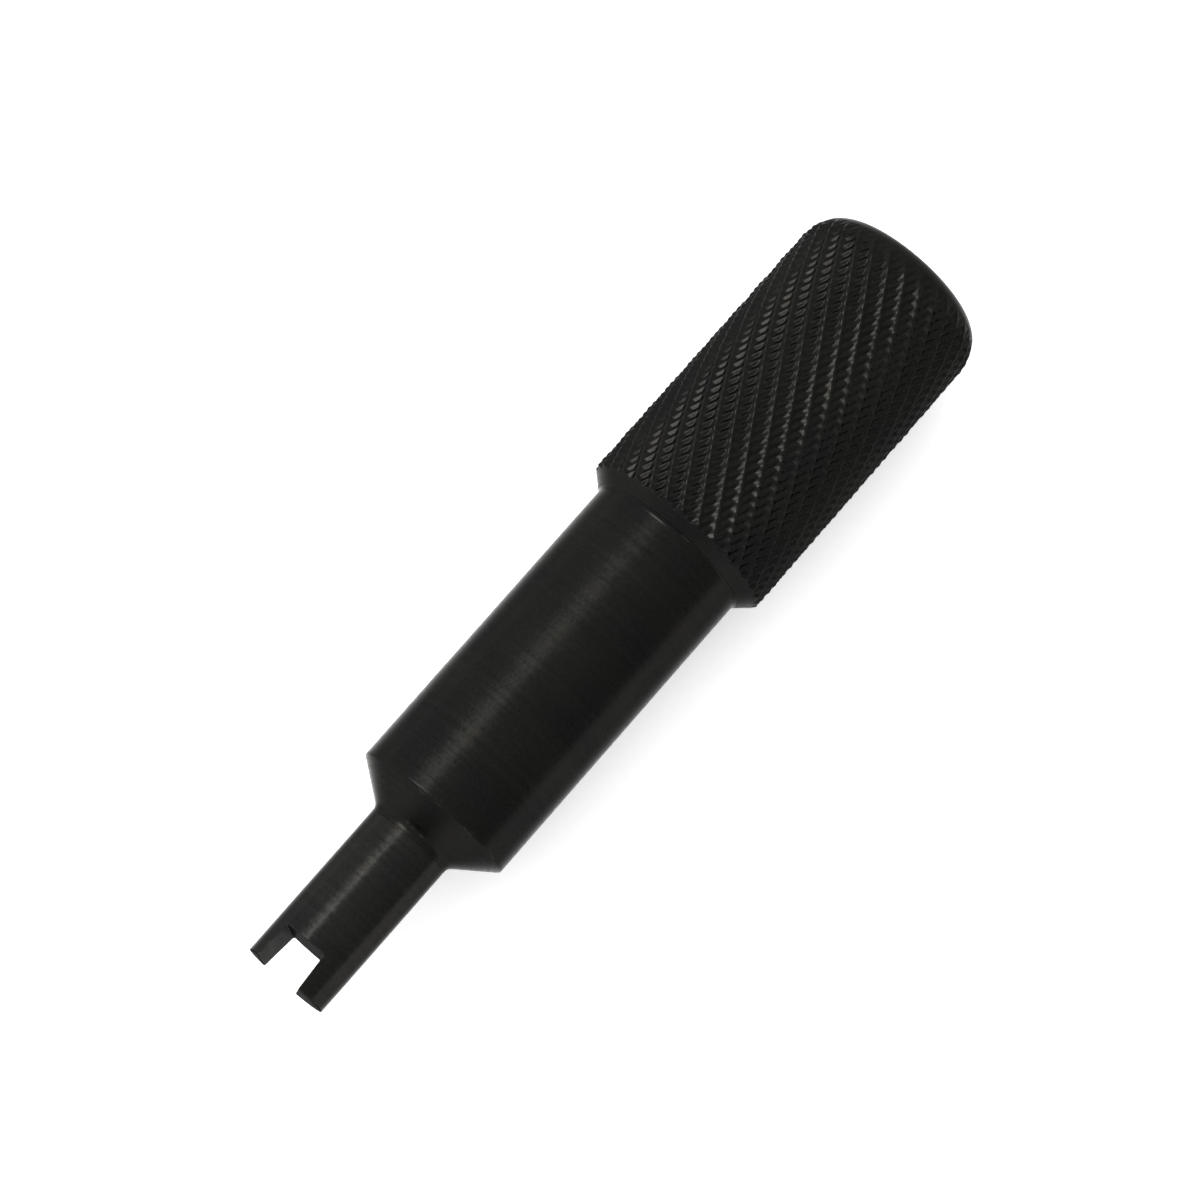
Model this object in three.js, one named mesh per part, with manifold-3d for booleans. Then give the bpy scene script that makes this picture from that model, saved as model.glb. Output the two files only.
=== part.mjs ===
// Slot-ended hand driver for watch work: a knurled head, a smooth barrel with a
// conical nose, a forked tip held in the nose, and the screw that clamps it.
// Millimetres, +Z up. The tool lies on its head along X with the fork towards +X;
// the origin is the middle of the bounding box's underside.
import * as THREE from 'three';
import { mergeVertices } from 'three/addons/utils/BufferGeometryUtils.js';
import Module from 'manifold-3d';

const wasm = await Module();
wasm.setup();

// ---- driving dimensions -------------------------------------------------------
const GAP = 0.3; // clearance kept between pieces that touch on the real tool

const HEAD_RADIUS = 6.08; // over the knurl crests
const HEAD_LENGTH = 21.25;
const HEAD_END_ROUND = 2.4; // length along the axis of the rounded end
const HEAD_END_DROP = 2.0; // fall of the rounded end from the knurl to the flat face
const HEAD_FRONT_ROUND = 1.0; // rounded edge where the knurl runs out

const BARREL_RADIUS = 5.0;
const BARREL_LENGTH = 20.2; // from the head to the cone
const BARREL_EDGE = 0.12; // broken edge at the barrel's rear shoulder
const CONE_LENGTH = 1.6;
const NOSE_RADIUS = 2.88; // where the cone runs into its hollow foot
const NOSE_COLLAR = 0.05; // level land in front of the hollow at the cone's foot
const SPIGOT_RADIUS = 3.0; // barrel's tenon inside the head
const SPIGOT_LENGTH = 13.0;

const TIP_RADIUS = 2.64;
const TIP_LENGTH = 10.78; // from the cone to the fork's end
const TIP_EDGE = 0.08;
const SHANK_RADIUS = 1.8; // tip's tenon inside the barrel
const SHANK_LENGTH = 9.0;
const SHANK_FLAT = 1.3; // distance of the clamping flat from the axis
const SHANK_COLLAR = 0.5; // round land left in front of the flat

const SLOT_DEPTH = 2.3;
const SLOT_FLOOR_WIDTH = 2.35; // slot widths are at the height of the axis
const SLOT_MOUTH_WIDTH = 2.65;
const SLOT_OFFSET = -0.47; // slot centre from the axis, along Y
const SLOT_CORNER = 0.12;
const SLOT_LEAN = THREE.MathUtils.degToRad(4.7); // of each wall, apart towards +Z

const SCREW_RADIUS = 1.15;
const SCREW_LENGTH = 3.0;
const SCREW_FROM_CONE = 3.6; // screw axis behind the cone's wide end
const SCREW_ANGLE = THREE.MathUtils.degToRad(120); // from +Z towards +Y
const SCREW_SLOT_WIDTH = 0.45;
const SCREW_SLOT_DEPTH = 0.6;

const HEAD_SIDES = 24; // facets, with one flat facing down
const ROUND_SIDES = 32;
const SMALL_SIDES = 20;
const ARC_STEPS = 5;

// ---- stations along the axis, from the head's end face ------------------------
const coneStart = HEAD_LENGTH + BARREL_LENGTH;
const coneEnd = coneStart + CONE_LENGTH;
const tipEnd = coneEnd + TIP_LENGTH;
const barrelRear = HEAD_LENGTH + GAP;
const coneSlope = Math.atan2(BARREL_RADIUS - NOSE_RADIUS, CONE_LENGTH);
const hollowRadius = (NOSE_RADIUS - TIP_RADIUS) / (1 - Math.cos(coneSlope));
const noseEnd = coneEnd + hollowRadius * Math.sin(coneSlope) + NOSE_COLLAR;
const tipShoulder = noseEnd + GAP;
const spigotEnd = barrelRear - SPIGOT_LENGTH;
const shankEnd = tipShoulder - SHANK_LENGTH;
const screwStation = coneStart - SCREW_FROM_CONE;

// ---- helpers --------------------------------------------------------------------
const at = (station, radius) => new THREE.Vector2(radius, station);

// Points of a round from one angle to another about a centre: along is its reach on the
// axis and out its reach from the axis.
function roundPoints(centreStation, centreRadius, along, out, fromAngle, toAngle) {
  const points = [];
  for (let i = 0; i <= ARC_STEPS; i += 1) {
    const angle = fromAngle + ((toAngle - fromAngle) * i) / ARC_STEPS;
    const station = centreStation + along * Math.sin(angle);
    points.push(at(station, centreRadius + out * Math.cos(angle)));
  }
  return points;
}

// Turns a profile about the X axis. Radii are measured across the flats.
function turned(profile, sides) {
  const toCorner = 1 / Math.cos(Math.PI / sides);
  const points = profile.map((p) => new THREE.Vector2(p.x * toCorner, p.y));
  const geometry = new THREE.LatheGeometry(points, sides, Math.PI / sides);
  return geometry.rotateZ(-Math.PI / 2);
}

function toSolid(geometry) {
  const bare = geometry.index ? geometry.clone() : geometry;
  bare.deleteAttribute('normal');
  bare.deleteAttribute('uv');
  const merged = mergeVertices(bare, 1e-4);
  const vertProperties = new Float32Array(merged.attributes.position.array);
  const triVerts = new Uint32Array(merged.index.array);
  return new wasm.Manifold(new wasm.Mesh({ numProp: 3, vertProperties, triVerts }));
}

function toGeometry(solid) {
  const mesh = solid.getMesh();
  const geometry = new THREE.BufferGeometry();
  geometry.setAttribute('position', new THREE.BufferAttribute(mesh.vertProperties, 3));
  geometry.setIndex(new THREE.BufferAttribute(mesh.triVerts, 1));
  geometry.computeVertexNormals();
  return geometry;
}

// Stands a shape made along +Y on the screw's axis, pointing out of the barrel.
function ontoScrewAxis(geometry) {
  geometry.rotateX(Math.PI / 2 - SCREW_ANGLE);
  return geometry.translate(screwStation, 0, 0);
}

// ---- knurled head -----------------------------------------------------------------
function knurledHead() {
  const boreRadius = SPIGOT_RADIUS + GAP;
  const boreEnd = spigotEnd - GAP;
  const quarter = Math.PI / 2;
  const rear = HEAD_END_ROUND;
  const drop = HEAD_END_DROP;
  const front = HEAD_FRONT_ROUND;
  const profile = [
    at(0, 0),
    ...roundPoints(rear, HEAD_RADIUS - drop, rear, drop, -quarter, 0),
    ...roundPoints(HEAD_LENGTH - front, HEAD_RADIUS - front, front, front, 0, quarter),
    at(HEAD_LENGTH, boreRadius),
    at(boreEnd, boreRadius),
    at(boreEnd, 0),
  ];
  return turned(profile, HEAD_SIDES);
}

// ---- barrel -----------------------------------------------------------------------
// Hollow round that leads the cone's slope into the nose's level collar.
function noseHollow() {
  const centreStation = coneEnd + hollowRadius * Math.sin(coneSlope);
  const centreRadius = TIP_RADIUS + hollowRadius;
  const r = -hollowRadius;
  return roundPoints(centreStation, centreRadius, r, r, coneSlope, 0);
}

function barrel() {
  const socketRadius = SHANK_RADIUS + GAP;
  const socketEnd = shankEnd - GAP;
  const profile = [
    at(spigotEnd, 0),
    at(spigotEnd, SPIGOT_RADIUS),
    at(barrelRear, SPIGOT_RADIUS),
    at(barrelRear, BARREL_RADIUS - BARREL_EDGE),
    at(barrelRear + BARREL_EDGE, BARREL_RADIUS),
    at(coneStart, BARREL_RADIUS),
    ...noseHollow(),
    at(noseEnd, TIP_RADIUS),
    at(noseEnd, socketRadius),
    at(socketEnd, socketRadius),
    at(socketEnd, 0),
  ];
  const holeRadius = SCREW_RADIUS + GAP;
  const holeLength = BARREL_RADIUS;
  const hole = new THREE.CylinderGeometry(holeRadius, holeRadius, holeLength, SMALL_SIDES);
  hole.translate(0, SHANK_FLAT + holeLength / 2, 0);
  return toGeometry(toSolid(turned(profile, ROUND_SIDES)).subtract(toSolid(ontoScrewAxis(hole))));
}

// ---- forked tip -------------------------------------------------------------------
function slotCutter() {
  const beyond = 1.0;
  const floor = tipEnd - SLOT_DEPTH;
  const halfFloor = SLOT_FLOOR_WIDTH / 2;
  const slope = (SLOT_MOUTH_WIDTH - SLOT_FLOOR_WIDTH) / 2 / SLOT_DEPTH;
  const halfMouth = SLOT_MOUTH_WIDTH / 2 + beyond * slope;
  const outline = new THREE.Shape();
  outline.moveTo(tipEnd + beyond, SLOT_OFFSET - halfMouth);
  outline.lineTo(tipEnd + beyond, SLOT_OFFSET + halfMouth);
  outline.lineTo(floor + SLOT_CORNER, SLOT_OFFSET + halfFloor);
  outline.quadraticCurveTo(
    floor, SLOT_OFFSET + halfFloor, floor, SLOT_OFFSET + halfFloor - SLOT_CORNER);
  outline.lineTo(floor, SLOT_OFFSET - halfFloor + SLOT_CORNER);
  outline.quadraticCurveTo(
    floor, SLOT_OFFSET - halfFloor, floor + SLOT_CORNER, SLOT_OFFSET - halfFloor);
  outline.closePath();
  const height = 4 * TIP_RADIUS;
  const options = { depth: height, bevelEnabled: false, curveSegments: ARC_STEPS };
  const cutter = new THREE.ExtrudeGeometry(outline, options).translate(0, 0, -height / 2);
  const points = cutter.attributes.position;
  for (let i = 0; i < points.count; i += 1) {
    const side = Math.sign(points.getY(i) - SLOT_OFFSET);
    points.setY(i, points.getY(i) + side * points.getZ(i) * Math.tan(SLOT_LEAN));
  }
  return cutter;
}

function flatCutter() {
  const length = SHANK_LENGTH - SHANK_COLLAR;
  const cutter = new THREE.BoxGeometry(2 * length, SHANK_RADIUS, 4 * SHANK_RADIUS);
  cutter.translate(0, SHANK_FLAT + SHANK_RADIUS / 2, 0);
  cutter.rotateX(Math.PI / 2 - SCREW_ANGLE);
  return cutter.translate(shankEnd, 0, 0);
}

function forkTip() {
  const profile = [
    at(shankEnd, 0),
    at(shankEnd, SHANK_RADIUS),
    at(tipShoulder, SHANK_RADIUS),
    at(tipShoulder, TIP_RADIUS),
    at(tipEnd - TIP_EDGE, TIP_RADIUS),
    at(tipEnd, TIP_RADIUS - TIP_EDGE),
    at(tipEnd, 0),
  ];
  const blank = toSolid(turned(profile, ROUND_SIDES));
  return toGeometry(blank.subtract(toSolid(slotCutter())).subtract(toSolid(flatCutter())));
}

// ---- clamp screw ------------------------------------------------------------------
function clampScrew() {
  const foot = SHANK_FLAT + GAP;
  const top = foot + SCREW_LENGTH;
  const body = new THREE.CylinderGeometry(SCREW_RADIUS, SCREW_RADIUS, SCREW_LENGTH, SMALL_SIDES);
  body.translate(0, foot + SCREW_LENGTH / 2, 0);
  const slot = new THREE.BoxGeometry(4 * SCREW_RADIUS, 2 * SCREW_SLOT_DEPTH, SCREW_SLOT_WIDTH);
  slot.translate(0, top, 0);
  return ontoScrewAxis(toGeometry(toSolid(body).subtract(toSolid(slot))));
}

// ---- assembly ---------------------------------------------------------------------
function blackSteel(name, color, roughness) {
  return new THREE.MeshStandardMaterial({ name, color, roughness, metalness: 0.9 });
}

function piece(name, geometry, material) {
  const mesh = new THREE.Mesh(geometry, material);
  mesh.name = name;
  return mesh;
}

const knurledSteel = blackSteel('black_knurled_steel', 0x1d1c1a, 0.45);
const turnedSteel = blackSteel('black_turned_steel', 0x1a1917, 0.35);
const screwSteel = blackSteel('black_screw_steel', 0x232220, 0.5);

const tool = new THREE.Group();
tool.add(piece('knurled_head', knurledHead(), knurledSteel));
tool.add(piece('barrel', barrel(), turnedSteel));
tool.add(piece('fork_tip', forkTip(), turnedSteel));
tool.add(piece('tip_clamp_screw', clampScrew(), screwSteel));
tool.position.set(-tipEnd / 2, 0, HEAD_RADIUS);

const group = new THREE.Group();
group.add(tool);

export default group;
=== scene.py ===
"""Slot-ended spring bar tool in black oxide steel, lying on a pale table.

Each piece is a fine surface of revolution about the tool's axis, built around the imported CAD
nodes. Lengths are metres in the row frame: +X runs from the knurled head to the fork, +Z is up.
"""
import math

import bmesh
import bpy
import numpy as np
from mathutils import Matrix, Vector


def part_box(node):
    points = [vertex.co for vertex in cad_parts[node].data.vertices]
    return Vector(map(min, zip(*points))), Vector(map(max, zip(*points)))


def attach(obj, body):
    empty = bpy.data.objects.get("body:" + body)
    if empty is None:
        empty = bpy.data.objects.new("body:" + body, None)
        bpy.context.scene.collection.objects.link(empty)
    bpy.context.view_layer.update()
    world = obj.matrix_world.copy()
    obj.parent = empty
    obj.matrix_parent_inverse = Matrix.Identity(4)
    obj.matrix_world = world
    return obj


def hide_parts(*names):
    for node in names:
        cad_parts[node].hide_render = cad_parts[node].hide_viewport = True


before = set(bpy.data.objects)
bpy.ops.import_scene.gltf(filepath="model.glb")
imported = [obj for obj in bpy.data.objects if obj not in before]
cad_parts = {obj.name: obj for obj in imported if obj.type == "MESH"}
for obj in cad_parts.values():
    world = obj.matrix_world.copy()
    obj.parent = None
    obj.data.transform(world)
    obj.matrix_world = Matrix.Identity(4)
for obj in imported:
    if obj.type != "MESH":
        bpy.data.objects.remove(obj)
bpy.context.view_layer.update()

MM = 0.001

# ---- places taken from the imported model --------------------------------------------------
head_low, head_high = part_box("knurled_head")
barrel_low, barrel_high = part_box("barrel")
tip_low, tip_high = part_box("fork_tip")
HEAD_RADIUS = (head_high.y - head_low.y) / 2
AXIS_Z = head_low.z + HEAD_RADIUS
HEAD_REAR, HEAD_FRONT = head_low.x, head_high.x
BARREL_RADIUS = (barrel_high.y - barrel_low.y) / 2
SPIGOT_REAR, NOSE_FACE = barrel_low.x, barrel_high.x
SHANK_REAR, TIP_END = tip_low.x, tip_high.x
TOOL_MIDDLE = (HEAD_REAR + TIP_END) / 2

# ---- sizes that the boxes don't give ------------------------------------------------------
HEAD_END_ROUND = 2.4 * MM  # along the axis
HEAD_END_DROP = 2.0 * MM  # from the knurl to the flat face
FRONT_CHAMFER = 1.0 * MM  # length along the axis
FRONT_SLOPE = math.radians(47)
SPIGOT_RADIUS = 3.0 * MM
CONE_LENGTH = 1.6 * MM
NOSE_RADIUS = 2.88 * MM
TIP_RADIUS = 2.64 * MM
NOSE_COLLAR = 0.05 * MM
SHANK_RADIUS = 1.8 * MM
SHANK_FLAT = 1.3 * MM
SHANK_COLLAR = 0.5 * MM
SLOT_DEPTH = 2.3 * MM
SLOT_FLOOR_WIDTH = 2.35 * MM  # slot widths are at the height of the axis
SLOT_MOUTH_WIDTH = 2.65 * MM
SLOT_OFFSET = -0.47 * MM
SLOT_CORNER = 0.12 * MM
SLOT_LEAN = math.radians(4.7)  # of each wall, apart towards +Z
EDGE_BREAK = 0.04 * MM  # filed edges of the slot
SCREW_RADIUS = 1.15 * MM
SCREW_LENGTH = 3.0 * MM
SCREW_FROM_CONE = 3.6 * MM
SCREW_ANGLE = math.radians(120)
SCREW_SLOT_WIDTH = 0.45 * MM
SCREW_SLOT_DEPTH = 0.6 * MM
CAD_GAP = 0.3 * MM  # between neighbouring CAD solids
SCREW_FOOT = SHANK_FLAT + CAD_GAP  # measured from the tool's axis
LATHE_MARKS = 0.0009 * MM  # typical depth on the turned pieces
THREAD_PITCH = 0.4 * MM
THREAD_DEPTH = 0.14 * MM
COUNTERSINK = 0.25 * MM
FIT = 0.008 * MM  # clearance between pieces that touch
PRESS_FIT = 0.004 * MM  # clearance inside the handle, where nothing moves
RUNNING_FIT = 0.05 * MM  # clearance between pieces that move

CONE_SLOPE = math.atan2(BARREL_RADIUS - NOSE_RADIUS, CONE_LENGTH)
NOSE_HOLLOW = (NOSE_RADIUS - TIP_RADIUS) / (1 - math.cos(CONE_SLOPE))
CONE_END = NOSE_FACE - NOSE_COLLAR - NOSE_HOLLOW * math.sin(CONE_SLOPE)
CONE_START = CONE_END - CONE_LENGTH
SLOT_FLOOR = TIP_END - SLOT_DEPTH
SCREW_X = CONE_START - SCREW_FROM_CONE
SCREW_WAY = Vector((0, math.sin(SCREW_ANGLE), math.cos(SCREW_ANGLE)))

# ---- knurl ----------------------------------------------------------------------------------
KNURL_STARTS = 64  # grooves of the fine hand; the other hand's ridges are half as many
KNURL_HELIX = math.radians(31.3)  # between a ridge and the tool's axis
KNURL_DEPTH = 0.28 * MM
KNURL_CELLS = 8  # mesh cells across one fine groove
RIDGE_HALF_WIDTH = 0.38  # of a tall ridge, in its own pitches
RIDGE_NOTCH = 0.22  # share of a tall ridge's height that the fine grooves cut away
VALLEY_HEIGHT = 0.62  # of the fine ridges between two tall ones
KNURL_REACH = 0.55 * MM  # fall of the rounded end at which the knurl has run out
UNEVENNESS = 0.10  # share of the height that the knurl lacks on average, and twice it at most
# Waves per turn and radians per millimetre. The second number is also the wave's start.
UNEVEN_WAVES = ((3, 0.9), (11, -2.3), (23, 3.7), (37, -5.9), (53, 7.1))
CREST_WEAR = 0.04  # share of the height that wear has taken off the crests


def tri(phase):
    """Height of a V-grooved row of ridges: 0 in the grooves, 1 on the crests."""
    return 1 - np.abs(2 * (phase - np.floor(phase)) - 1)


def knurl_height(x, theta):
    """Height over the groove floor, 0 to 1: tall ridges of one hand, and between them the
    finer ridges of the other hand, which also notch the tall ones. Both are a little uneven,
    as a pressed knurl is."""
    turn = KNURL_STARTS * theta / (2 * math.pi)
    lead = KNURL_STARTS * (x - HEAD_REAR) * math.tan(KNURL_HELIX) / (2 * math.pi * HEAD_RADIUS)
    from_crest = (1 - tri((turn - lead) / 2)) / 2
    fine = tri(turn + lead)
    tall = np.maximum(0, 1 - from_crest / RIDGE_HALF_WIDTH) * (1 - RIDGE_NOTCH * (1 - fine))
    height = np.maximum(tall, VALLEY_HEIGHT * fine)
    station = (x - HEAD_REAR) / MM
    waves = sum(np.sin(around * theta + along * (station + 1)) for around, along in UNEVEN_WAVES)
    height = height * (1 - UNEVENNESS * (1 + waves / len(UNEVEN_WAVES)))
    return np.minimum(height, 1 - CREST_WEAR) / (1 - CREST_WEAR)


# ---- mesh helpers ---------------------------------------------------------------------------
def new_object(name, points, faces):
    mesh = bpy.data.meshes.new(name)
    mesh.from_pydata([tuple(p) for p in points], [], [tuple(f) for f in faces])
    mesh.validate()
    mesh.update()
    mesh.shade_smooth()
    made = bpy.data.objects.new(name, mesh)
    bpy.context.scene.collection.objects.link(made)
    return made


def on_axis(x, radius, theta):
    """A point at an angle from +Z towards +Y about the tool's axis."""
    return np.stack([x, radius * np.sin(theta), AXIS_Z + radius * np.cos(theta)], -1)


def on_screw(height, radius, theta):
    """A point about the clamp screw's axis; height is measured from the tool's axis."""
    across = radius * np.cos(theta)
    return np.stack([
        SCREW_X + radius * np.sin(theta),
        height * SCREW_WAY.y - across * SCREW_WAY.z,
        AXIS_Z + height * SCREW_WAY.z + across * SCREW_WAY.y,
    ], -1)


def turned(name, profile, sides, relief=None, relief_rows=None, place=on_axis):
    """A closed solid turned about an axis. The profile is (station, radius) pairs that start
    and end on the axis. relief(station, theta, radius) may change the radius of the rows between
    the two numbers of relief_rows, where each cell also gets a centre point."""
    theta = 2 * math.pi * np.arange(sides) / sides
    half_step = math.pi / sides
    rings = profile[1:-1]
    points, faces = [], []
    for k, (x, r) in enumerate(rings):
        radius = np.full(sides, r)
        if relief and relief_rows[0] <= k <= relief_rows[1]:
            radius = relief(np.full(sides, x), theta, radius)
        points.append(place(np.full(sides, x), radius, theta))
    count = sides * len(rings)
    around = np.arange(sides)
    beside = (around + 1) % sides
    for k in range(len(rings) - 1):
        low, high = k * sides, (k + 1) * sides
        corners = [low + around, low + beside, high + beside, high + around]
        if relief and relief_rows[0] <= k < relief_rows[1]:
            x = np.full(sides, (rings[k][0] + rings[k + 1][0]) / 2)
            r = np.full(sides, (rings[k][1] + rings[k + 1][1]) / 2)
            middle = theta + half_step
            points.append(place(x, relief(x, middle, r), middle))
            centre = count + around
            count += sides
            for i in range(4):
                faces += list(zip(corners[i], corners[(i + 1) % 4], centre))
        else:
            faces += list(zip(*corners))
    first, last = count, count + 1
    ends = np.array([profile[0][0], profile[-1][0]])
    points.append(place(ends, np.zeros(2), np.zeros(2)))
    end = (len(rings) - 1) * sides
    faces += [(first, b, a) for a, b in zip(around, beside)]
    faces += [(last, end + a, end + b) for a, b in zip(around, beside)]
    return new_object(name, np.concatenate(points), faces)


def arc(x, r, radius, start, stop, steps, along=None):
    """Profile points of a round about (x, r); angle 0 points outwards and 90 along the axis.
    Its reach on the axis is the radius or along."""
    angles = [math.radians(start + (stop - start) * i / steps) for i in range(steps + 1)]
    return [(x + (along or radius) * math.sin(a), r + radius * math.cos(a)) for a in angles]


def hollow(x, r, radius, slope, steps):
    """Profile points of a hollow round that starts at x with a slope and ends level at r."""
    angles = [slope * (1 - i / steps) for i in range(steps + 1)]
    end = x + radius * math.sin(slope)
    return [(end - radius * math.sin(a), r + radius * (1 - math.cos(a))) for a in angles]


def straight(start, stop, steps):
    """Profile points from start to stop, both included."""
    return [
        (start[0] + (stop[0] - start[0]) * i / steps, start[1] + (stop[1] - start[1]) * i / steps)
        for i in range(steps + 1)
    ]


def prism(name, outline, low, high, place):
    """A closed solid over a flat outline; place(u, v, height) gives each point."""
    n = len(outline)
    points = [place(u, v, low) for u, v in outline] + [place(u, v, high) for u, v in outline]
    faces = [tuple(range(n - 1, -1, -1)), tuple(range(n, 2 * n))]
    faces += [(i, (i + 1) % n, n + (i + 1) % n, n + i) for i in range(n)]
    return new_object(name, points, faces)


def edge_tube(name, path, half_width):
    """A thin square bar along an open path, one corner towards the path's normals, to
    break a sharp edge. The path is (point, outward, sideways) triples."""
    points, faces = [], []
    for point, outward, sideways in path:
        for way in (outward, sideways, -outward, -sideways):
            points.append(point + half_width * way)
    n = len(path)
    for i in range(n - 1):
        for j in range(4):
            a, b = 4 * i + j, 4 * i + (j + 1) % 4
            faces.append((a, b, b + 4, a + 4))
    faces += [(3, 2, 1, 0), (4 * n - 4, 4 * n - 3, 4 * n - 2, 4 * n - 1)]
    return new_object(name, points, faces)


def outward_faces(made):
    """Turns all faces of a closed mesh outwards."""
    shape = bmesh.new()
    shape.from_mesh(made.data)
    bmesh.ops.recalc_face_normals(shape, faces=shape.faces[:])
    shape.to_mesh(made.data)
    shape.free()


def cut(piece, *cutters):
    """Takes the cutters away from the piece and removes them from the scene."""
    outward_faces(piece)
    for cutter in cutters:
        outward_faces(cutter)
        step = piece.modifiers.new("cut", "BOOLEAN")
        step.operation = "DIFFERENCE"
        step.solver = "EXACT"
        step.object = cutter
        final = piece.evaluated_get(bpy.context.evaluated_depsgraph_get())
        mesh = bpy.data.meshes.new_from_object(final)
        piece.modifiers.clear()
        old = piece.data
        piece.data = mesh
        bpy.data.meshes.remove(old)
        bpy.data.objects.remove(cutter)
    piece.data.name = piece.name


def crisp(piece, degrees=32):
    """Smooth shading that keeps edges sharper than the angle."""
    piece.data.shade_smooth()
    piece.data.set_sharp_from_angle(angle=math.radians(degrees))


# ---- knurled head -----------------------------------------------------------------------------
def build_head():
    axial_pitch = 2 * math.pi * HEAD_RADIUS / KNURL_STARTS / math.tan(KNURL_HELIX)
    row = axial_pitch / KNURL_CELLS
    bore = SPIGOT_RADIUS + PRESS_FIT
    bore_end = SPIGOT_REAR - FIT
    face_radius = HEAD_RADIUS - HEAD_END_DROP
    outer_x = HEAD_REAR + HEAD_END_ROUND
    rear = [(HEAD_REAR, 0)]
    rear += [(HEAD_REAR, face_radius * share) for share in (0.2, 0.4, 0.6, 0.8)]
    corner = arc(outer_x, face_radius, HEAD_END_DROP, -90, 0, 80, HEAD_END_ROUND)
    rear += corner[:1]
    corner = corner[1:]
    front_start = HEAD_FRONT - FRONT_CHAMFER
    rows = int(round((front_start - outer_x) / row))
    side = straight((outer_x, HEAD_RADIUS), (front_start, HEAD_RADIUS), rows)[1:]
    edge = 0.3 * MM
    front = arc(front_start, HEAD_RADIUS - edge, edge, 0, math.degrees(FRONT_SLOPE), 10)[1:]
    x, r = front[-1]
    front += straight((x, r), (HEAD_FRONT, r - (HEAD_FRONT - x) * math.tan(FRONT_SLOPE)), 24)[1:]
    chamfer = 0.1 * MM
    inner = [(HEAD_FRONT, bore + chamfer), (HEAD_FRONT - chamfer, bore)]
    inner += [(bore_end, bore), (bore_end, 0)]
    profile = rear + corner + side + front + inner

    def relief(x, theta, radius):
        groove = KNURL_DEPTH * (1 - knurl_height(x, theta))
        if x[0] < outer_x:
            return radius - groove * np.clip(1 - (HEAD_RADIUS - radius) / KNURL_REACH, 0, 1)
        return np.minimum(radius, HEAD_RADIUS - groove)

    first = len(rear) - 1
    last = first + len(corner) + len(side) + len(front) - 2
    return turned("head_knurled", profile, KNURL_STARTS * KNURL_CELLS, relief, (first, last))


# ---- barrel -------------------------------------------------------------------------------------
def screw_hole():
    """The threaded hole's outer end, with its countersink at the barrel's surface."""
    hole = SCREW_RADIUS + RUNNING_FIT
    lip = BARREL_RADIUS - COUNTERSINK
    beyond = BARREL_RADIUS + 1.0 * MM
    start = SHANK_RADIUS / 2
    profile = [(start, 0), (start, hole), (lip - RUNNING_FIT, hole)]
    profile += [(beyond, hole + beyond - lip), (beyond, 0)]
    return turned("hole_cutter", profile, 96, place=on_screw)


def build_barrel():
    rng = np.random.default_rng(4)
    rear = HEAD_FRONT + PRESS_FIT
    rear_hollow = 0.35 * MM
    edge = 0.2 * MM
    mouth_chamfer = 0.1 * MM
    socket = SHANK_RADIUS + RUNNING_FIT
    socket_end = SHANK_REAR - RUNNING_FIT
    profile = [(SPIGOT_REAR, 0), (SPIGOT_REAR, SPIGOT_RADIUS - edge)]
    profile += [(SPIGOT_REAR + edge, SPIGOT_RADIUS), (rear, SPIGOT_RADIUS)]
    profile += hollow(rear, BARREL_RADIUS, rear_hollow, math.radians(50), 8)
    body_start = profile[-1][0]
    tangent = edge * math.tan(CONE_SLOPE / 2)
    body_end = CONE_START - tangent
    steps = 190
    marks = rng.normal(0, LATHE_MARKS, steps)
    body = straight((body_start, BARREL_RADIUS), (body_end, BARREL_RADIUS), steps)[1:]
    profile += [(x, r - abs(m)) for (x, r), m in zip(body, marks)]
    profile += arc(body_end, BARREL_RADIUS - edge, edge, 0, math.degrees(CONE_SLOPE), 8)[1:]
    profile += straight(profile[-1], (CONE_END, NOSE_RADIUS), 18)[1:]
    profile += hollow(CONE_END, TIP_RADIUS, NOSE_HOLLOW, CONE_SLOPE, 10)[1:]
    lip = 0.01 * MM
    profile += [(NOSE_FACE - lip, TIP_RADIUS), (NOSE_FACE, TIP_RADIUS - lip)]
    profile += [(NOSE_FACE, socket + mouth_chamfer), (NOSE_FACE - mouth_chamfer, socket)]
    profile += [(socket_end, socket), (socket_end, 0)]
    made = turned("barrel_turned", profile, 160)
    cut(made, screw_hole())
    crisp(made)
    return made


# ---- fork tip -----------------------------------------------------------------------------------
def slot_outline():
    """The slot seen from above: (x, y) from one prong's end round the floor to the other's."""
    half_floor, half_mouth = SLOT_FLOOR_WIDTH / 2, SLOT_MOUTH_WIDTH / 2
    corner = SLOT_FLOOR + SLOT_CORNER
    one_side = straight((TIP_END, half_mouth), (corner, half_floor), 12)
    one_side += [
        (corner - SLOT_CORNER * math.sin(a), half_floor - SLOT_CORNER * (1 - math.cos(a)))
        for a in (math.radians(90 * i / 8) for i in range(1, 9))
    ]
    one_side += straight(one_side[-1], (SLOT_FLOOR, 0), 6)[1:]
    other_side = [(x, -y) for x, y in reversed(one_side[:-1])]
    return [(x, y + SLOT_OFFSET) for x, y in one_side + other_side]


def leaning(y, height):
    """Moves a point of the slot's outline to where it is at a height over the tool's axis."""
    across = (y - SLOT_OFFSET) / (SLOT_FLOOR_WIDTH / 2 - SLOT_CORNER)
    return y + height * math.tan(SLOT_LEAN) * min(max(across, -1), 1)


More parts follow.
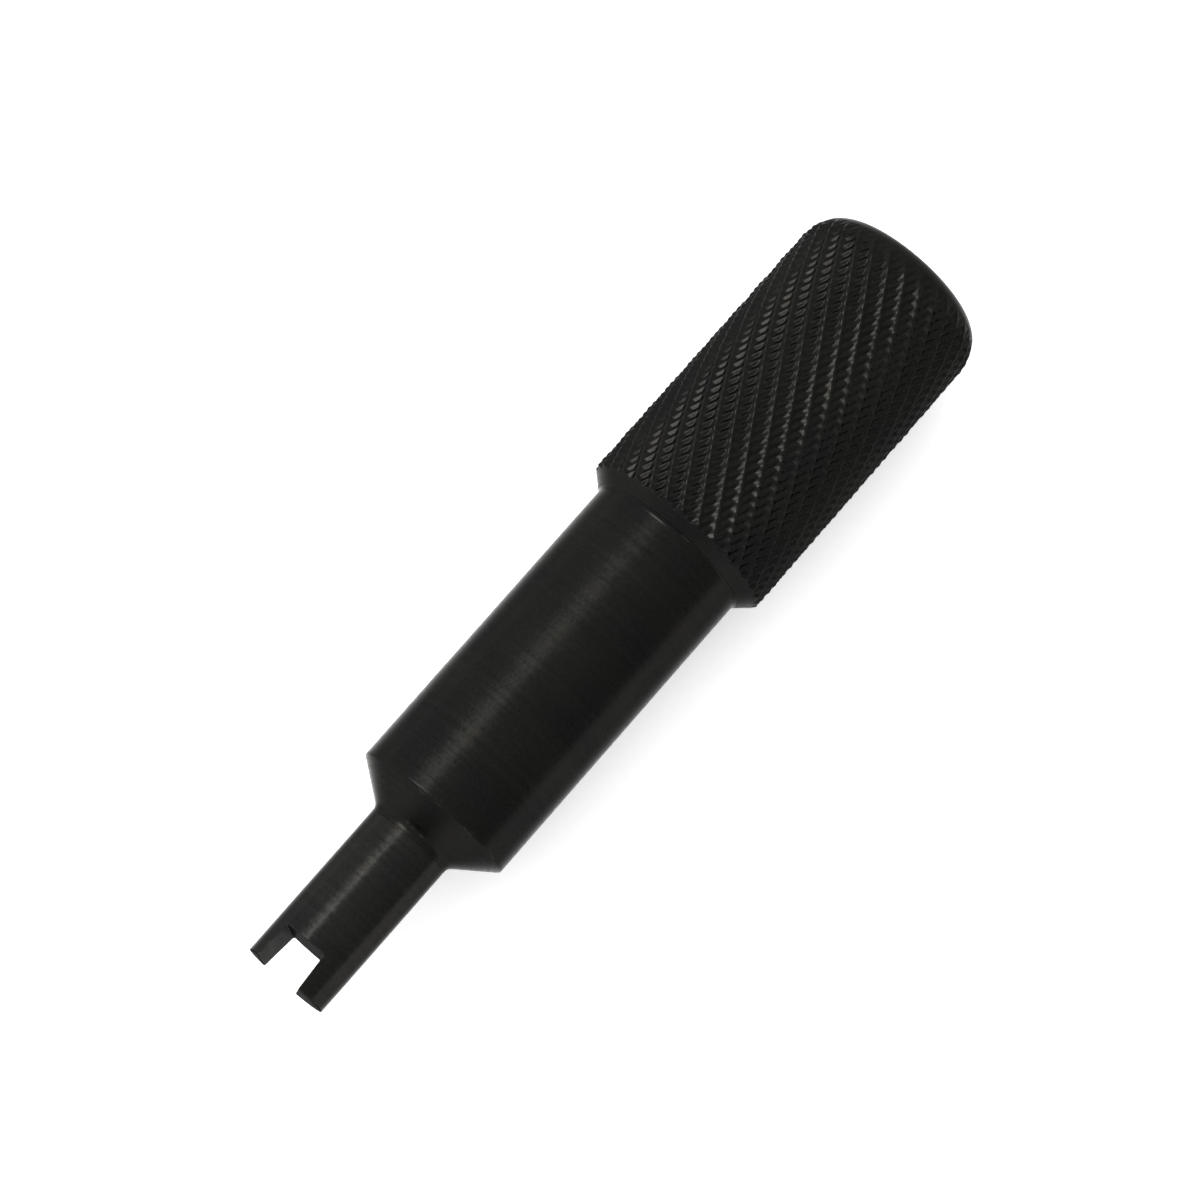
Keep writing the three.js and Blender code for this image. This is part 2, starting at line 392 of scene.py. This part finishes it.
def slot_cutter():
    """The slot's solid, which flares at the mouth to break the prongs' inner edges."""
    beyond = 0.5 * MM
    flare = EDGE_BREAK + beyond
    outline = slot_outline()
    (x0, y0), (x1, y1) = outline[0], outline[-1]
    outline[0] = (x0 - EDGE_BREAK, y0)
    outline[-1] = (x1 - EDGE_BREAK, y1)
    outline = [(x0 + beyond, y0 + flare)] + outline + [(x1 + beyond, y1 - flare)]
    height = 2 * TIP_RADIUS

    def place(u, v, h):
        return (u, leaning(v, h), AXIS_Z + h)

    return prism("slot_cutter", outline, -height, height, place)


def slot_edge_cutter(side):
    """A bar along the slot's upper or lower edge on the tip's round surface."""
    outline = slot_outline()
    beyond = 0.3 * MM
    (x0, y0), (x1, y1) = outline[0], outline[-1]
    outline = [(x0 + beyond, y0)] + outline + [(x1 + beyond, y1)]
    path = []
    for i, (x, y) in enumerate(outline):
        before, after = outline[max(i - 1, 0)], outline[min(i + 1, len(outline) - 1)]
        along = Vector((after[0] - before[0], after[1] - before[1], 0)).normalized()
        inwards = Vector((-along.y, along.x, 0))
        level = side * math.sqrt(TIP_RADIUS ** 2 - y ** 2)
        y = leaning(y, level)
        z = side * math.sqrt(TIP_RADIUS ** 2 - y ** 2)
        radial = Vector((0, y, z)).normalized()
        path.append((Vector((x, y, AXIS_Z + z)), radial, inwards))
    return edge_tube("edge_cutter", path, EDGE_BREAK)


def flat_cutter():
    """Everything outside the shank's clamping flat, up to its round collar."""
    far = 2 * SHANK_RADIUS
    across = SCREW_WAY.cross(Vector((1, 0, 0)))
    end = NOSE_FACE + CAD_GAP - SHANK_COLLAR
    start = SHANK_REAR - 1.0 * MM
    outline = [(start, -far), (end, -far), (end, far), (start, far)]

    def place(u, v, height):
        return Vector((u, 0, AXIS_Z)) + v * across + height * SCREW_WAY

    return prism("flat_cutter", outline, SHANK_FLAT, far, place)


def build_tip():
    rng = np.random.default_rng(9)
    shoulder = NOSE_FACE + FIT
    edge = 0.08 * MM
    lip = 0.01 * MM
    chamfer = 0.15 * MM
    profile = [(SHANK_REAR, 0), (SHANK_REAR, SHANK_RADIUS - chamfer)]
    profile += [(SHANK_REAR + chamfer, SHANK_RADIUS), (shoulder, SHANK_RADIUS)]
    profile += [(shoulder, TIP_RADIUS - lip), (shoulder + lip, TIP_RADIUS)]
    steps = 100
    marks = rng.normal(0, LATHE_MARKS, steps)
    body = straight(profile[-1], (TIP_END - edge, TIP_RADIUS), steps)[1:]
    profile += [(x, r - abs(m)) for (x, r), m in zip(body, marks)]
    profile += arc(TIP_END - edge, TIP_RADIUS - edge, edge, 0, 90, 4)[1:]
    profile += [(TIP_END, TIP_RADIUS * share) for share in (0.7, 0.4)]
    profile += [(TIP_END, 0)]
    made = turned("tip_forked", profile, 160)
    cut(made, flat_cutter(), slot_cutter(), slot_edge_cutter(1), slot_edge_cutter(-1))
    crisp(made)
    return made


def milled_faces_painted_light(made, wall_index, end_index):
    """Gives the slot's walls one material, and its floor and the prongs' ends another: milled
    finishes, rougher than the turned tip, and also lightened copies of the oxide with their grazing
    reflection turned down, as painted light for how these faces catch the light.
    """
    near = 0.01 * MM
    faces_forward = 0.5
    faces_up = 0.12
    half_floor, half_mouth = SLOT_FLOOR_WIDTH / 2, SLOT_MOUTH_WIDTH / 2
    for face in made.data.polygons:
        x, y, z = face.center
        depth = min(max((x - SLOT_FLOOR) / SLOT_DEPTH, 0), 1)
        half = half_floor + (half_mouth - half_floor) * depth
        half += (z - AXIS_Z) * math.tan(SLOT_LEAN)
        in_slot = abs(y - SLOT_OFFSET) < half + near and x > SLOT_FLOOR - near
        if face.normal.x > faces_forward and x > SLOT_FLOOR - near:
            face.material_index = end_index
        elif in_slot and abs(face.normal.z) < faces_up:
            face.material_index = wall_index


# ---- clamp screw ------------------------------------------------------------------------------
def build_screw():
    """A slotted grub screw with a rolled thread and a chamfered point."""
    top = SCREW_FOOT + SCREW_LENGTH
    foot = SCREW_FOOT - 0.25 * MM
    point = 0.35 * MM
    rim = 0.1 * MM
    thread_rows = 130
    side = straight((foot + point, SCREW_RADIUS), (top - rim, SCREW_RADIUS), thread_rows)
    profile = [(foot, 0), (foot, SCREW_RADIUS - point)]
    profile += straight((foot, SCREW_RADIUS - point), side[0], 6)[1:-1]
    profile += side + [(top, SCREW_RADIUS - rim), (top, SCREW_RADIUS / 2), (top, 0)]

    def thread(height, theta, radius):
        phase = height / THREAD_PITCH + theta / (2 * math.pi)
        flank = np.clip(1.5 * tri(phase) - 0.2, 0, 1)
        return np.minimum(radius, SCREW_RADIUS - THREAD_DEPTH * (1 - flank))

    made = turned("screw_clamp", profile, 64, thread, (1, thread_rows + 6), place=on_screw)
    half = SCREW_SLOT_WIDTH / 2
    deep = top - SCREW_SLOT_DEPTH
    high = top + 0.5 * MM
    lip = 0.04 * MM
    groove = [(-half, deep), (half, deep), (half, top - lip), (half + lip, top), (half + lip, high)]
    groove += [(-half - lip, high), (-half - lip, top), (-half, top - lip)]
    across = SCREW_WAY.cross(Vector((1, 0, 0)))

    def place(u, v, length):
        return Vector((SCREW_X + length, 0, AXIS_Z)) + u * across + v * SCREW_WAY

    far = 2 * SCREW_RADIUS
    cut(made, prism("groove_cutter", groove, -far, far, place))
    crisp(made)
    return made


# ---- materials ----------------------------------------------------------------------------------
OXIDE_DARK = (0.0084, 0.0085, 0.0084)
OXIDE_WARM = (0.0101, 0.0099, 0.0090)
OXIDE_WORN = (0.0195, 0.0191, 0.0176)


def node(tree, kind, settings, inputs):
    """A shader node with its settings, and its inputs as values or as sockets to link."""
    made = tree.nodes.new(kind)
    for key, value in settings.items():
        setattr(made, key, value)
    for key, value in inputs.items():
        if isinstance(value, bpy.types.NodeSocket):
            tree.links.new(value, made.inputs[key])
        else:
            made.inputs[key].default_value = value
    return made


def maths(tree, operation, *values):
    made = node(tree, "ShaderNodeMath", {"operation": operation}, dict(enumerate(values)))
    return made.outputs[0]


def spread(tree, value, low, high, to_low, to_high):
    """The value's range from low to high, stretched onto another and kept inside it."""
    inputs = {
        "Value": value, "From Min": low, "From Max": high, "To Min": to_low, "To Max": to_high,
    }
    return node(tree, "ShaderNodeMapRange", {"clamp": True}, inputs).outputs["Result"]


def noise(tree, scale, detail, vector=None, line=None):
    """Noise in space, or along one line, with the scale in cells per metre."""
    settings = {"noise_dimensions": "3D" if line is None else "1D"}
    inputs = {"Scale": scale, "Detail": detail, "Roughness": 0.55}
    inputs["Vector" if line is None else "W"] = vector if line is None else line
    return node(tree, "ShaderNodeTexNoise", settings, inputs).outputs["Fac"]


def mix(tree, share, first, second):
    settings = {"data_type": "RGBA"}
    inputs = {0: share, 6: first, 7: second}
    return node(tree, "ShaderNodeMix", settings, inputs).outputs[2]


def black_oxide(
    name, roughness, marks, wear_radius=None, anisotropy=0.0, edge_tint=0.52, lightness=1.0,
):
    """Blackened steel: blotches between two near-black tones, fine grain, lathe marks around
    the axis, and edges rubbed a little lighter. Wear on a knurl goes by the height of its
    crests over the radius wear_radius. edge_tint is the colour's share left at grazing angles."""
    material = bpy.data.materials.new(name)
    material.use_nodes = True
    tree = material.node_tree
    shader = tree.nodes["Principled BSDF"]
    place = node(tree, "ShaderNodeTexCoord", {}, {}).outputs["Object"]
    split = node(tree, "ShaderNodeSeparateXYZ", {}, {"Vector": place})
    up = maths(tree, "SUBTRACT", split.outputs["Z"], AXIS_Z)
    across_squared = maths(tree, "POWER", split.outputs["Y"], 2.0)
    up_squared = maths(tree, "POWER", up, 2.0)
    radius = maths(tree, "SQRT", maths(tree, "ADD", across_squared, up_squared))
    line = maths(tree, "SUBTRACT", split.outputs["X"], radius)
    blotch = spread(tree, noise(tree, 210, 3, vector=place), 0.38, 0.62, 0.0, 1.0)
    grain = noise(tree, 5200, 3, vector=place)
    rings = noise(tree, 2600, 4, line=line)
    broad_rings = noise(tree, 700, 2, line=line)

    tone = mix(tree, blotch, (*OXIDE_DARK, 1), (*OXIDE_WARM, 1))
    if wear_radius:
        crest = spread(tree, radius, wear_radius, HEAD_RADIUS - 0.01 * MM, 0.0, 1.0)
        rubbed = maths(tree, "MULTIPLY", crest, spread(tree, grain, 0.35, 0.65, 0.55, 1.0))
    else:
        point = node(tree, "ShaderNodeNewGeometry", {}, {}).outputs["Pointiness"]
        edge = spread(tree, point, 0.52, 0.60, 0.0, 1.0)
        rubbed = maths(tree, "MULTIPLY", edge, spread(tree, grain, 0.35, 0.65, 0.3, 1.0))
    colour = mix(tree, rubbed, tone, (*OXIDE_WORN, 1))
    dusty = spread(tree, grain, 0.3, 0.7, 0.88 * lightness, 1.14 * lightness)
    streak = spread(tree, rings, 0.3, 0.7, 0.92, 1.08)
    shade = maths(tree, "MULTIPLY", dusty, streak)
    lit = node(tree, "ShaderNodeVectorMath", {"operation": "SCALE"}, {0: colour, "Scale": shade})
    tree.links.new(lit.outputs["Vector"], shader.inputs["Base Color"])

    rough = maths(tree, "ADD", roughness - 0.07, spread(tree, grain, 0.3, 0.7, 0.0, 0.08))
    rough = maths(tree, "ADD", rough, spread(tree, rings, 0.3, 0.7, -0.03, 0.05))
    rough = maths(tree, "ADD", rough, spread(tree, blotch, 0.0, 1.0, 0.0, 0.04))
    rough = maths(tree, "SUBTRACT", rough, maths(tree, "MULTIPLY", rubbed, 0.06))
    tree.links.new(rough, shader.inputs["Roughness"])

    relief = maths(tree, "MULTIPLY", rings, marks)
    relief = maths(tree, "ADD", relief, maths(tree, "MULTIPLY", broad_rings, marks * 3.0))
    relief = maths(tree, "ADD", relief, maths(tree, "MULTIPLY", grain, 0.0006 * MM))
    bump = node(tree, "ShaderNodeBump", {}, {"Strength": 1.0, "Distance": 1.0, "Height": relief})
    tree.links.new(bump.outputs["Normal"], shader.inputs["Normal"])

    shader.inputs["Metallic"].default_value = 1.0
    shader.inputs["Specular Tint"].default_value = (edge_tint, edge_tint, edge_tint, 1)
    if anisotropy:
        tangent = node(tree, "ShaderNodeTangent", {"direction_type": "RADIAL", "axis": "X"}, {})
        tree.links.new(tangent.outputs["Tangent"], shader.inputs["Tangent"])
        shader.inputs["Anisotropic"].default_value = anisotropy
        shader.inputs["Anisotropic Rotation"].default_value = 0.25
    return material


def paper(name):
    """Pale matt paper with a faint tooth, lit a little from below as on a light table."""
    material = bpy.data.materials.new(name)
    material.use_nodes = True
    tree = material.node_tree
    shader = tree.nodes["Principled BSDF"]
    place = node(tree, "ShaderNodeTexCoord", {}, {}).outputs["Object"]
    tooth = noise(tree, 900, 3, vector=place)
    colour = mix(tree, tooth, (0.93, 0.93, 0.93, 1), (0.95, 0.95, 0.95, 1))
    tree.links.new(colour, shader.inputs["Base Color"])
    shader.inputs["Roughness"].default_value = 0.9
    shader.inputs["Specular IOR Level"].default_value = 0.1
    shader.inputs["Emission Color"].default_value = (1, 1, 1, 1)
    shader.inputs["Emission Strength"].default_value = 0.25
    return material


head = build_head()
barrel = build_barrel()
tip = build_tip()
screw = build_screw()
wear_start = HEAD_RADIUS - 0.35 * KNURL_DEPTH  # wear shows on the top third of the ridges
knurl_finish = black_oxide("oxide_knurled", 0.30, 0.0002 * MM, wear_radius=wear_start)
barrel_finish = black_oxide("oxide_turned", 0.28, 0.0016 * MM, anisotropy=0.6)
tip_finish = black_oxide("oxide_tip", 0.24, 0.0014 * MM, anisotropy=0.6, lightness=1.42)
# The slot walls and prong ends: rougher milled finish, plus painted light, as lighter tones and a
# turned-down grazing reflection that stand in for how these faces catch the light.
wall_finish = black_oxide("oxide_slot_walls", 0.5, 0.0008 * MM, edge_tint=0.42, lightness=1.6)
end_finish = black_oxide("oxide_prong_ends", 0.5, 0.0008 * MM, edge_tint=0.1, lightness=2.2)
screw_finish = black_oxide("oxide_screw", 0.34, 0.0004 * MM)
for made, finish, cad_node, body, slot in (
    (head, knurl_finish, "knurled_head", "handle", "knurled_steel"),
    (barrel, barrel_finish, "barrel", "handle", "turned_steel"),
    (tip, tip_finish, "fork_tip", "tip", "tip_steel"),
    (screw, screw_finish, "tip_clamp_screw", "clamp_screw", "screw_steel"),
):
    made.data.materials.clear()
    made.data.materials.append(finish)
    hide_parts(cad_node)
    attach(made, body)

for finish in (wall_finish, end_finish):
    tip.data.materials.append(finish)
milled_faces_painted_light(tip, wall_index=1, end_index=2)

# ---- camera -----------------------------------------------------------------------------------
CAMERA_DISTANCE = 225.5 * MM
CAMERA_TILT = math.radians(10.7)  # towards the fork, from square to the axis
CAMERA_ROLL = math.radians(5.9)  # about the tool's axis, towards +Y
IMAGE_TURN = math.radians(48.6)  # the axis in the image, from the horizontal
FOCAL_WIDTHS = 3.333  # focal length over image width
FRAME_SHIFT = (-0.242 * MM, -1.043 * MM)  # the view's middle from the aim, right and down
AIM_BEHIND_MIDDLE = 0.165 * MM  # the aim from the tool's middle, towards the head
SENSOR_WIDTH = 36  # millimetres, Blender's unit for it

forward = Vector((1, 0, 0))
square = Vector((0, math.sin(CAMERA_ROLL), math.cos(CAMERA_ROLL)))
sideways = Vector((0, math.cos(CAMERA_ROLL), -math.sin(CAMERA_ROLL)))
towards_camera = math.cos(CAMERA_TILT) * square + math.sin(CAMERA_TILT) * forward
to_head = -math.cos(CAMERA_TILT) * forward + math.sin(CAMERA_TILT) * square
image_right = math.cos(IMAGE_TURN) * to_head + math.sin(IMAGE_TURN) * sideways
image_down = -math.sin(IMAGE_TURN) * to_head + math.cos(IMAGE_TURN) * sideways
aim = Vector((TOOL_MIDDLE - AIM_BEHIND_MIDDLE, 0, AXIS_Z))
eye = aim + CAMERA_DISTANCE * towards_camera
eye += FRAME_SHIFT[0] * image_right + FRAME_SHIFT[1] * image_down
camera_data = bpy.data.cameras.new("camera")
camera_data.sensor_width = SENSOR_WIDTH
camera_data.lens = SENSOR_WIDTH * FOCAL_WIDTHS
camera_data.clip_start = 0.01
camera = bpy.data.objects.new("camera", camera_data)
bpy.context.scene.collection.objects.link(camera)
axes = Matrix((image_right, -image_down, towards_camera)).transposed()
camera.matrix_world = Matrix.Translation(eye) @ axes.to_4x4()
bpy.context.scene.camera = camera

# ---- floor and light ---------------------------------------------------------------------------
FLOOR_REACH = 2  # metres each way
floor_points = [(FLOOR_REACH * x, FLOOR_REACH * y, 0) for x, y in ((-1, -1), (1, -1), (1, 1), (-1, 1))]
floor = new_object("floor", floor_points, [(0, 1, 2, 3)])
floor.data.materials.append(paper("floor_paper"))


def area_light(name, azimuth_from_z, along_x, distance, size, power, color):
    """A soft box aimed at the tool. The angle runs from +Z towards +Y, and along_x is how far
    the light leans towards the fork, in degrees."""
    a, lean = math.radians(azimuth_from_z), math.radians(along_x)
    way = Vector((math.sin(lean), math.sin(a) * math.cos(lean), math.cos(a) * math.cos(lean)))
    data = bpy.data.lights.new(name, "AREA")
    data.shape = "RECTANGLE"
    data.size, data.size_y = size
    data.energy = power
    data.color = color
    made = bpy.data.objects.new(name, data)
    made.location = aim + distance * way
    made.rotation_mode = "QUATERNION"
    made.rotation_quaternion = way.to_track_quat("Z", "Y")
    bpy.context.scene.collection.objects.link(made)


area_light(
    "key", azimuth_from_z=-30, along_x=12, distance=0.5, size=(0.15, 0.2), power=1.6,
    color=(1.0, 0.99, 0.965),
)


def studio_world():
    """A pale room, brighter on one side."""
    dim, bright = 0.85, 1.8
    world = bpy.data.worlds.new("studio")
    world.use_nodes = True
    tree = world.node_tree
    way = node(tree, "ShaderNodeTexCoord", {}, {}).outputs["Generated"]
    bright_side = (0.1, -0.95, 0.3)
    lean = node(tree, "ShaderNodeVectorMath", {"operation": "DOT_PRODUCT"}, {0: way, 1: bright_side})
    level = spread(tree, lean.outputs["Value"], -0.9, 0.9, dim, bright)
    tree.links.new(level, tree.nodes["Background"].inputs["Strength"])
    tree.nodes["Background"].inputs["Color"].default_value = (1, 1, 1, 1)
    return world


bpy.context.scene.world = studio_world()
bpy.context.scene.view_settings.view_transform = "Standard"
